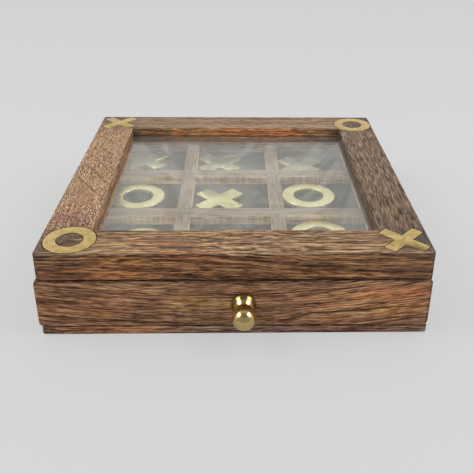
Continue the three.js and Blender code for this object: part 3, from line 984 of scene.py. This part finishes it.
def build_cross(bench, given):
    """Stretches a small grid without its corners to a cross and gives it its thickness."""
    grid = bench.node(
        "GeometryNodeMeshGrid", {"Size X": 3.0, "Size Y": 3.0, "Vertices X": 4, "Vertices Y": 4}
    )
    place = bench.node("GeometryNodeInputPosition").outputs[0]
    parts = bench.node("ShaderNodeSeparateXYZ", {0: place}).outputs
    corner = bench.maths("ABSOLUTE", bench.times(parts[0], parts[1]))
    plus = bench.node(
        "GeometryNodeDeleteGeometry",
        {"Geometry": grid.outputs[0], "Selection": bench.maths("GREATER_THAN", corner, 0.5)},
        domain="FACE",
    )
    half_arm = bench.times(given["Arm width"], 0.5)
    spare = bench.minus(given["Length"], given["Arm width"])
    reach = bench.times(spare, 0.5)
    drawn = []
    for part in (parts[0], parts[1]):
        out = bench.minus(bench.maths("ABSOLUTE", part), 0.5)
        far = bench.plus(bench.times(out, reach), half_arm)
        drawn.append(bench.times(far, bench.maths("SIGN", part)))
    flat = bench.joined({0: drawn[0], 1: drawn[1]})
    sized = bench.node("GeometryNodeSetPosition", {"Geometry": plus.outputs[0], "Position": flat})
    raised = bench.node(
        "GeometryNodeExtrudeMesh",
        {"Mesh": sized.outputs[0], "Offset Scale": given["Thickness"], "Individual": False},
    )
    under = bench.node("GeometryNodeFlipFaces", {0: sized.outputs[0]})
    joined = bench.node("GeometryNodeJoinGeometry")
    for part in (raised.outputs["Mesh"], under.outputs[0]):
        bench.feed(joined.inputs[0], part)
    closed = bench.node(
        "GeometryNodeMergeByDistance", {"Geometry": joined.outputs[0], "Distance": SAME_POINT}
    )
    spin = bench.plus(given["Turn"], QUARTER / 2)
    placed = {
        "Geometry": closed.outputs[0],
        "Rotation": bench.joined({2: spin}),
        "Translation": given["Place"],
    }
    return bench.node("GeometryNodeTransform", placed).outputs[0]


def shaped(tree, sizes, edge=0.0):
    """The plain mesh that a shape tree gives for its named sizes, with its edges eased."""
    holder = linked("shape", bpy.data.meshes.new("shape"))
    maker = holder.modifiers.new("shape", "NODES")
    maker.node_group = tree
    for socket in tree.interface.items_tree:
        if socket.in_out == "INPUT" and socket.name in sizes:
            maker[socket.identifier] = sizes[socket.name]
    if edge:
        ease_edges(holder, edge)
    mesh = baked_mesh(holder)
    work = bmesh.new()
    work.from_mesh(mesh)
    bmesh.ops.remove_doubles(work, verts=work.verts, dist=SAME_POINT)
    bmesh.ops.recalc_face_normals(work, faces=work.faces)
    work.to_mesh(mesh)
    work.free()
    return mesh


def cross_turn(node):
    """How far an X node lies turned from square, from the bearings of its farthest corners."""
    middle = middle_of(node)
    corners = [(v.co - middle).to_2d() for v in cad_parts[node].data.vertices]
    far = max(corner.length for corner in corners)
    tips = [complex(*corner) for corner in corners if corner.length > far - 0.01 * MM]
    spin = sum((tip / abs(tip)) ** 4 for tip in tips)
    bearing = math.atan2(spin.imag, spin.real) / 4
    return bearing % QUARTER - QUARTER / 2


def flat_brass(node, arm, edge, grow=0.0, bottom=None, top=None):
    """A ring or a cross where its node stands, or a larger one to cut its pocket with."""
    low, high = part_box(node)
    bottom = low.z if bottom is None else bottom
    top = high.z if top is None else top
    middle, radii = middle_of(node), plan_radii(node)
    if "ring" in node or node.startswith("o_"):
        sizes = {
            "Outer radius": radii[-1] + grow,
            "Hole radius": radii[0] - grow,
            "Thickness": top - bottom,
            "Rim radius": edge,
            "Steps": setting("brass").turning_steps,
            "Place": (middle.x, middle.y, (bottom + top) / 2),
        }
        return shaped(shape_tree("flat ring", RING_INPUTS, build_ring), sizes)
    tip_to_tip = 2 * math.sqrt(radii[-1] ** 2 - (arm / 2) ** 2)
    sizes = {
        "Length": tip_to_tip + 2 * grow,
        "Arm width": arm + 2 * grow,
        "Thickness": top - bottom,
        "Turn": cross_turn(node),
        "Place": (middle.x, middle.y, bottom),
    }
    return shaped(shape_tree("flat cross", CROSS_INPUTS, build_cross), sizes, edge)


def pocket_cutter(mark, sizes):
    """The solid that cuts a mark's pocket, which stands well out of the rail."""
    low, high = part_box(mark)
    arm = setting("brass").mark_arm
    bottom, top = low.z - sizes.seat, high.z + 2 * MM
    return flat_brass(mark, arm, 0.0, sizes.pocket_line, bottom, top)


# How the timber of the four rails looks. A patch is (kind, amount, middle, reach, turn),
# in millimetres and degrees.

# The box's front face and top, and the middle and reach of the back rail's inner wall
FRONT, TOP = -101.5, 48.8
INNER_WALL = ((0, 75, 44), (92, 3, 7))


def on_front(kind, amount, x, z, long, tall, lean=0, deep=8):
    return kind, amount, (x, FRONT, z), (long, deep, tall), (0, lean, 0)


def on_top(kind, amount, x, y, long, wide, turn=0, deep=6):
    return kind, amount, (x, y, TOP), (long, wide, deep), (0, 0, turn)


RAIL_FIGURES = {
    "front": dict(
        seed=(31.0, 7.0, 3.0),
        heart=(4.0, -40.0),
        slip=(5.5, -30.0, 62.0),
        smoke=0.25,
        tint=(0.98, 0.76, 0.58),
        # Painted sheen: the rail's top is lightened and cooled
        top=(0.98, 1.24, 1.50),
        patches=(
            # Painted shade: a dark line along the seam between the frame and the drawer front
            on_front("char", 0.95, 0, 33.3, 400, 1.5),
            on_top("char", 0.60, -92, -88, 20, 22, deep=5),
            on_top("char", 0.50, 92, -88, 19, 19, deep=5),
            # Painted shade on the frame's rounded right end
            on_front("char", 0.90, 102.5, 41, 2.6, 200, deep=40),
            # Painted shade on the frame's rounded left end
            ("char", 0.60, (-105.5, -104, 41), (6.5, 8, 60)),
            on_front("gold", 0.9, -72, 38.5, 32, 1.8, 3, deep=6),
            on_front("gold", 0.8, -52, 45.2, 26, 2.2, 2, deep=6),
            on_front("char", 0.95, 20, 43.6, 26, 0.8, 6.5),
            on_front("char", 0.75, 48, 42, 20, 2.6, 8),
            on_front("bare", 0.8, 66, 35.6, 24, 1.2, deep=4),
            on_front("char", 0.5, -20, 36.6, 30, 1.2, 2, deep=6),
        ),
    ),
    "right": dict(
        seed=(5.0, 61.0, 14.0),
        grain="Y",
        vein=0.2,
        tint=(0.66, 0.73, 0.88),
        fibre=(0.11, 2.00, 2.00),
        pore=(0.16, 2.10, 2.10),
        pore_depth=0.55,
        fleck=(0.16, 2.10, 2.10),
        fleck_depth=0.25,
        shares=(0.05, 0.20, 0.75),
        spread=(0.35, 0.65),
        wave=1.5,
        ripple=0.6,
        red=0.10,
        gold=0.10,
        patches=(
            on_top("gold", 0.4, 92, -52, 9, 26, deep=5),
            on_top("char", 0.25, 88, -62, 26, 50),
            on_top("char", 0.45, 90, -87, 17, 17),
        ),
    ),
    "back": dict(
        seed=(87.0, 23.0, 41.0),
        tint=(1.12, 1.30, 1.54),
        spread=(0.26, 0.74),
        fleck_depth=0.15,
        red=0.25,
        patches=(
            # Painted light: the back rail's inner wall, in shade inside the window's well, is
            # lightened, and the red patch makes it redder
            ("bare", 1.0, *INNER_WALL),
            ("bare", 1.0, *INNER_WALL),
            ("red", 0.45, *INNER_WALL),
            ("bare", 0.35, (30, 75, 44), (30, 3, 7)),
        ),
    ),
    "left": dict(
        seed=(53.0, 19.0, 77.0),
        grain="Y",
        tint=(1.20, 1.02, 0.88),
        vein=0.0,
        # Painted sheen: the rail's top is lightened and cooled
        top=(1.20, 1.40, 1.62),
        fibre=(0.80, 1.75, 1.75),
        shares=(0.05, 0.10, 0.85),
        spread=(0.36, 0.60),
        speckle=0.75,
        fleck=(0.80, 1.75, 1.75),
        fleck_depth=0.45,
        red=0.20,
        gold=0.40,
        patches=(
            on_top("char", 0.70, -87, -4.5, 26, 0.85, -57),
            on_top("char", 0.70, -88.6, -22.6, 26, 0.85, -55),
            on_top("char", 0.60, -87.2, 31.8, 24, 0.8, -55),
            on_top("char", 0.55, -86.4, 10.3, 24, 0.8, -59),
            on_top("char", 0.50, -88, 50, 22, 0.8, -52),
            on_top("plum", 0.8, -89, -64, 16, 10),
            on_top("char", 0.65, -92, -88, 22, 22),
        ),
    ),
}


# Operators


class BOX_OT_top_frame(bpy.types.Operator):
    """Makes the four mitred rails of the top frame"""

    bl_idname = "tictactoe.top_frame"
    bl_label = "Top frame"

    def execute(self, context):
        sizes = setting("top_frame")
        marks = nodes_named("inlay_")
        # Faces sunk below the rails' top, in the pockets and the groove, get painted shade
        smoke = dict(smoke=0.65, smoke_from=64.0, smoke_to=92.0, painted_shade_below=48.35)
        for index, side in enumerate(SIDES):
            mesh = rail_mesh(index, sizes)
            near = [mark for mark in marks if side in mark.split("_")]
            mesh = cut(mesh, [pocket_cutter(mark, sizes) for mark in near])
            shade(mesh)
            wood = hardwood("timber_rail_" + side, **{**smoke, **RAIL_FIGURES[side]})
            new_piece(side + "_rail", mesh, wood, "case", "frame_wood", "frame_rail_" + side)
        return {"FINISHED"}


class BOX_OT_glazing(bpy.types.Operator):
    """Makes the glass pane"""

    bl_idname = "tictactoe.glazing"
    bl_label = "Glazing"

    def execute(self, context):
        arris = setting("top_frame").arris
        low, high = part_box("glass_pane")
        straight = ((0.0, low.z + arris), (0.0, high.z - arris))
        levels = ((arris, low.z), *straight, (arris, high.z))
        mesh = slab(low, high, levels, 1.0 * MM, steps=3, stride=1.0)
        shade(mesh, 30)
        glass = window_glass("window_glass")
        new_piece("window_pane", mesh, glass, "case", "window_glass", "glass_pane")
        return {"FINISHED"}


class BOX_OT_corner_marks(bpy.types.Operator):
    """Makes the brass rings and crosses let into the frame's corners"""

    bl_idname = "tictactoe.corner_marks"
    bl_label = "Corner marks"

    def execute(self, context):
        sizes = setting("brass")
        colours = setting("brass_colours")
        metal = brass("satin_brass", colours.mark, colours.tarnish, 0.38, 0.75, 0.35)
        for node in nodes_named("inlay_"):
            mesh = flat_brass(node, sizes.mark_arm, sizes.mark_edge)
            shade(mesh, 30)
            name = "mark_" + node.removeprefix("inlay_")
            new_piece(name, mesh, metal, "case", "inlay_brass", node)
        return {"FINISHED"}


class BOX_OT_case(bpy.types.Operator):
    """Makes the base board and the three case walls"""

    bl_idname = "tictactoe.case"
    bl_label = "Case"

    def execute(self, context):
        sizes = setting("boards")
        low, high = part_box("base_board")
        levels = eased_levels(low.z, high.z, sizes.base_edge)
        mesh = slab(low, high, levels, sizes.base_corner)
        shade(mesh)
        wood = hardwood(
            "timber_base",
            seed=(71.0, 33.0, 9.0),
            tint=(1.03, 1.08, 1.15),
            wave=1.5,
            red=0.4,
            gold=0.1,
            patches=(
                ("plum", 1, (55, -101, 2), (85, 30, 12)),
                ("red", 0.9, (-62, -101, 2), (36, 30, 12)),
            ),
        )
        new_piece("base_slab", mesh, wood, "case", "case_wood", "base_board")
        for side, grain in (("left", "Y"), ("right", "Y"), ("back", "X")):
            node = "case_wall_" + side
            wood = hardwood("timber_case_" + side, seed=(13.0, 57.0, 21.0), grain=grain)
            mesh = eased_copy(node, sizes.joinery_edge)
            new_piece("case_side_" + side, mesh, wood, "case", "case_wood", node)
        return {"FINISHED"}


class BOX_OT_drawer(bpy.types.Operator):
    """Makes the drawer's front, its box, its floor and its lining"""

    bl_idname = "tictactoe.drawer"
    bl_label = "Drawer"

    def execute(self, context):
        sizes = setting("boards")
        low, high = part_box("drawer_front")
        levels = eased_levels(low.y, high.y, sizes.front_edge)
        mesh = slab(low, high, levels, sizes.front_corner, upright=True)
        shade(mesh)
        wood = hardwood(
            "timber_drawer_front",
            seed=(17.0, 45.0, 63.0),
            heart=(0.0, -60.0),
            bow=(0.0008, -15.0),
            tint=(1.38, 1.30, 1.28),
            spread=(0.34, 0.68),
            red=0.35,
            patches=(
                # Painted shade: a dark line along the seam under the frame
                on_front("char", 0.95, 0, 34, 400, 1.7),
                # Painted shade on the drawer front's rounded right end
                on_front("char", 0.95, 102.5, 19, 2.6, 200, deep=40),
                on_front("char", 0.90, -58, 9.2, 42, 0.8, 4),
                on_front("char", 0.90, 62, 15, 36, 0.75, -5),
                on_front("char", 0.80, 33, 23.4, 23, 0.65, -12),
                on_front("char", 0.90, 30, 10, 18, 0.8, -17),
                on_front("char", 0.80, 83, 8.2, 18, 0.7, -9),
                on_front("char", 0.45, -80, 26, 22, 4.5),
                on_front("red", 0.6, 80, 26, 26, 6, -5),
                on_front("bare", 0.5, 68, 18, 44, 15),
                on_front("gold", 1, 86, 15.5, 22, 4.5, -6),
                on_front("gold", 0.8, -82, 12.8, 24, 2.8, 3),
                on_front("gold", 0.8, -20, 19, 26, 8),
            ),
        )
        new_piece("drawer_face", mesh, wood, "drawer", "front_wood", "drawer_front")
        boards = {
            "drawer_wall_left": "Y",
            "drawer_wall_right": "Y",
            "drawer_inner_front": "X",
            "drawer_wall_back": "X",
            "drawer_floor": "X",
        }
        for number, (node, grain) in enumerate(boards.items()):
            wood = tray_wood("timber_" + node, seed=(number * 29.0, 3.0, 11.0), grain=grain)
            mesh = eased_copy(node, sizes.joinery_edge)
            new_piece(node + "_board", mesh, wood, "drawer", "tray_wood", node)
        mesh = eased_copy("tray_lining", sizes.felt_edge)
        new_piece("felt_lining", mesh, felt("grey_felt"), "drawer", "lining_felt", "tray_lining")
        return {"FINISHED"}


class BOX_OT_laths(bpy.types.Operator):
    """Makes the four crossing laths that divide the tray"""

    bl_idname = "tictactoe.laths"
    bl_label = "Laths"

    def execute(self, context):
        for number, node in enumerate(nodes_named("lath_")):
            grain = "X" if "across" in node else "Y"
            figure = dict(seed=(number * 37.0, 13.0, 7.0), grain=grain, painted_side_light=True)
            wood = tray_wood("timber_" + node, **figure)
            mesh = eased_copy(node, setting("boards").lath_edge)
            new_piece(node.replace("lath_", "divider_"), mesh, wood, "drawer", "tray_wood", node)
        return {"FINISHED"}


class BOX_OT_knob(bpy.types.Operator):
    """Makes the turned brass knob and its screw"""

    bl_idname = "tictactoe.knob"
    bl_label = "Knob"

    # Painted shade that darkens the knob from foot to tip: at its rim, and in the neck behind the
    # ball
    painted_shade_ramp = (
        (0.075, (0.42, 0.40, 0.32)),
        (0.095, WHITE),
        (0.270, WHITE),
        (0.300, (0.45, 0.38, 0.32)),
        (0.620, (0.55, 0.48, 0.42)),
        (0.760, WHITE),
    )

    def execute(self, context):
        sizes = setting("brass")
        colours = setting("brass_colours")
        low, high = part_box("knob")
        tones, painted_shade_ramp = (colours.knob, colours.tarnish), (high.y, low.y, self.painted_shade_ramp)
        metal = brass("polished_brass", *tones, 0.20, 0.12, 0.25, painted_shade_ramp=painted_shade_ramp)
        profile = knob_profile(sizes, (high.x - low.x) / 2, high.y - low.y)
        mesh = lathe(profile, middle_of("knob"), high.y, -1, sizes.turning_steps)
        shade(mesh)
        new_piece("turned_knob", mesh, metal, "drawer", "knob_brass", "knob")
        mesh = eased_copy("knob_screw", sizes.screw_edge)
        metal = steel("screw_steel")
        new_piece("slotted_screw", mesh, metal, "drawer", "screw_steel", "knob_screw")
        return {"FINISHED"}


def knob_profile(sizes, foot, reach):
    """The knob's outline as (radius, reach) points, from its bore over its foot to its tip."""
    rim_steps, flare_steps, ball_steps = 4, 14, 28
    rim, crest = sizes.knob_rim, sizes.knob_collar
    points = [(0.0, sizes.knob_bore_depth), (sizes.knob_bore, sizes.knob_bore_depth)]
    points += [(sizes.knob_bore, 0.0), (foot - rim, 0.0)]
    for step in range(rim_steps):
        turn = QUARTER * (step + 1) / rim_steps
        points.append((foot - rim + rim * math.sin(turn), rim - rim * math.cos(turn)))
    for step in range(rim_steps):
        turn = QUARTER * step / rim_steps
        points.append((foot - rim + rim * math.cos(turn), crest - rim + rim * math.sin(turn)))
    for step in range(flare_steps + 1):
        share = step / flare_steps
        radius = sizes.knob_neck + (foot - rim - sizes.knob_neck) * (1 - share)
        points.append((radius, crest + sizes.knob_flare * share))
    start = math.asin(sizes.knob_neck / sizes.knob_ball)
    middle = reach - sizes.knob_ball_reach
    for step in range(1, ball_steps + 1):
        turn = start + (math.pi - start) * step / ball_steps
        radius = 0.0 if step == ball_steps else sizes.knob_ball * math.sin(turn)
        points.append((radius, middle - sizes.knob_ball_reach * math.cos(turn)))
    return points


class BOX_OT_playing_pieces(bpy.types.Operator):
    """Makes the five loose crosses and the four loose rings"""

    bl_idname = "tictactoe.playing_pieces"
    bl_label = "Playing pieces"

    def execute(self, context):
        sizes = setting("brass")
        colours = setting("brass_colours")
        tones = (colours.piece, colours.tarnish)
        bright = brass("pale_brass", *tones, 0.30, 0.10, 0.3)
        # Painted shade: pieces in the back row get a darker copy of the same brass on their faces
        back_row_shade = brass("back_row_shaded_brass", *tones, 0.46, 0.10, 0.3, colours.back_row_shade)
        for node in nodes_named("x_piece_") + nodes_named("o_piece_"):
            mesh = flat_brass(node, sizes.piece_arm, sizes.piece_edge)
            shade(mesh, 30)
            nearest = min(vertex.co.y for vertex in mesh.vertices)
            metal = back_row_shade if nearest > sizes.back_row_shade_from else bright
            name = node.replace("x_piece", "playing_cross").replace("o_piece", "playing_ring")
            new_piece(name, mesh, metal, node, "piece_brass", node)
        return {"FINISHED"}


class BOX_OT_studio(bpy.types.Operator):
    """Makes the floor, the pale surroundings, the two softboxes and the camera"""

    bl_idname = "tictactoe.studio"
    bl_label = "Studio"

    def execute(self, context):
        context.scene.view_settings.view_transform = "Standard"
        for make in (make_floor, make_sky, make_softboxes, make_camera):
            make(setting("studio"))
        return {"FINISHED"}


def make_floor(studio):
    """A wide pale floor that gives out part of its own light, so that it comes out even."""
    half = 4.0
    work = bmesh.new()
    corners = [(-half, -half, 0), (half, -half, 0), (half, half, 0), (-half, half, 0)]
    work.faces.new([work.verts.new(corner) for corner in corners])
    floor = linked("floor", mesh_of(work, "floor"))
    material = bpy.data.materials.new("floor")
    bench = emptied(material)
    tone = (*studio.backdrop, 1.0)
    rays = bench.node("ShaderNodeLightPath").outputs
    seen = bench.maths("MAXIMUM", rays["Is Camera Ray"], rays["Is Glossy Ray"])
    seen = bench.maths("MAXIMUM", seen, rays["Is Transmission Ray"])
    dimmed = bench.between(rays["Is Glossy Ray"], 0.0, 1.0, 1.0, studio.floor_shown)
    lit = bench.node("ShaderNodeBsdfDiffuse", {"Color": tone})
    even = bench.node("ShaderNodeEmission", {"Color": tone, "Strength": dimmed})
    both = bench.mixed_shader(bench.times(seen, studio.floor_glow), lit, even)
    bench.node("ShaderNodeOutputMaterial", {"Surface": both.outputs[0]})
    floor.data.materials.append(material)


def make_sky(studio):
    """A pale room, lit mostly from above and behind.

    Metal and glass see a room of its own tone, with a dim front wall and ceiling."""
    world = bpy.data.worlds.new("pale room")
    bpy.context.scene.world = world
    bench = emptied(world)
    way = bench.node("ShaderNodeTexCoord").outputs["Generated"]
    back, high = bench.part(way, "Y"), bench.part(way, "Z")
    lean = bench.plus(bench.times(high, 0.80), bench.times(back, 0.50))
    level = bench.between(lean, -0.35, 0.60, studio.front_share, 1.0)
    level = bench.times(level, studio.sky_strength)
    wall = bench.between(back, -0.40, 0.25, studio.dim_wall, studio.bright_wall)
    ceiling = bench.between(high, 0.60, 0.90, 1.0, studio.dim_wall)
    # Soft swirls, so that the haze on the pane isn't even
    swirl = bench.noise(way, (7.0, 7.0, 7.0), 2.0, output="Color")
    swirl = bench.vector("ADD", way, bench.vector("MULTIPLY", swirl, (0.20, 0.20, 0.20)))
    cloud = bench.between(bench.noise(swirl, (15.0, 15.0, 34.0), 3.0, 0.6), 0.40, 0.60, 0.80, 1.24)
    glow = bench.times(bench.times(wall, ceiling), cloud)
    light, shown, plain = (
        bench.node("ShaderNodeBackground", {"Color": (*tone, 1.0), "Strength": strength})
        for tone, strength in ((WHITE, level), (studio.room, glow), (studio.backdrop, 1.0))
    )
    rays = bench.node("ShaderNodeLightPath").outputs
    sent = bench.maths("MAXIMUM", rays["Is Glossy Ray"], rays["Is Transmission Ray"])
    rooms = bench.mixed_shader(sent, light, shown)
    both = bench.mixed_shader(rays["Is Camera Ray"], rooms, plain)
    bench.node("ShaderNodeOutputWorld", {"Surface": both.outputs[0]})


def make_softboxes(studio):
    right, front, height = studio.lamp_place
    for name, way in (("softbox_left", -1), ("softbox_right", 1)):
        lamp = bpy.data.lights.new(name, "AREA")
        lamp.shape = "SQUARE"
        lamp.size = studio.lamp_size
        lamp.energy = studio.lamp_radiance * math.pi * studio.lamp_size**2
        holder = linked(name, lamp)
        holder.location = Vector((way * right, front, height))
        holder.rotation_euler = (-holder.location).to_track_quat("-Z", "Y").to_euler()


def make_camera(studio):
    lens = bpy.data.cameras.new("camera")
    lens.sensor_width = 36.0
    lens.lens = studio.camera_focal
    lens.shift_x, lens.shift_y = studio.camera_shift
    lens.clip_start = 0.01
    camera = linked("camera", lens)
    camera.matrix_world = (
        Matrix.Translation(studio.camera_place)
        @ Matrix.Rotation(studio.camera_yaw, 4, "Z")
        @ Matrix.Rotation(QUARTER - studio.camera_pitch, 4, "X")
        @ Matrix.Rotation(studio.camera_roll, 4, "Z")
    )
    bpy.context.scene.camera = camera


OPERATORS = (
    BOX_OT_studio,
    BOX_OT_top_frame,
    BOX_OT_glazing,
    BOX_OT_corner_marks,
    BOX_OT_case,
    BOX_OT_drawer,
    BOX_OT_laths,
    BOX_OT_knob,
    BOX_OT_playing_pieces,
)


class BOX_PT_panel(bpy.types.Panel):
    """Lists the steps that build the box"""

    bl_idname = "BOX_PT_panel"
    bl_label = "Tic-tac-toe box"
    bl_space_type = "VIEW_3D"
    bl_region_type = "UI"
    bl_category = "Tic-tac-toe box"

    def draw(self, context):
        for step in OPERATORS:
            self.layout.operator(step.bl_idname, text=step.bl_label)
        for group, kind in SETTINGS.items():
            box = self.layout.box()
            box.label(text=kind.__doc__)
            for name in kind.__annotations__:
                box.prop(setting(group), name)


def register():
    for group, kind in SETTINGS.items():
        bpy.utils.register_class(kind)
        setattr(bpy.types.Scene, "box_" + group, PointerProperty(type=kind))
    for step in OPERATORS:
        bpy.utils.register_class(step)
    bpy.utils.register_class(BOX_PT_panel)


def unregister():
    bpy.utils.unregister_class(BOX_PT_panel)
    for step in reversed(OPERATORS):
        bpy.utils.unregister_class(step)
    for group, kind in reversed(SETTINGS.items()):
        delattr(bpy.types.Scene, "box_" + group)
        bpy.utils.unregister_class(kind)


def main():
    register()
    for step in OPERATORS:
        family, name = step.bl_idname.split(".")
        getattr(getattr(bpy.ops, family), name)()
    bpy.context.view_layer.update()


if __name__ == "__main__":
    main()
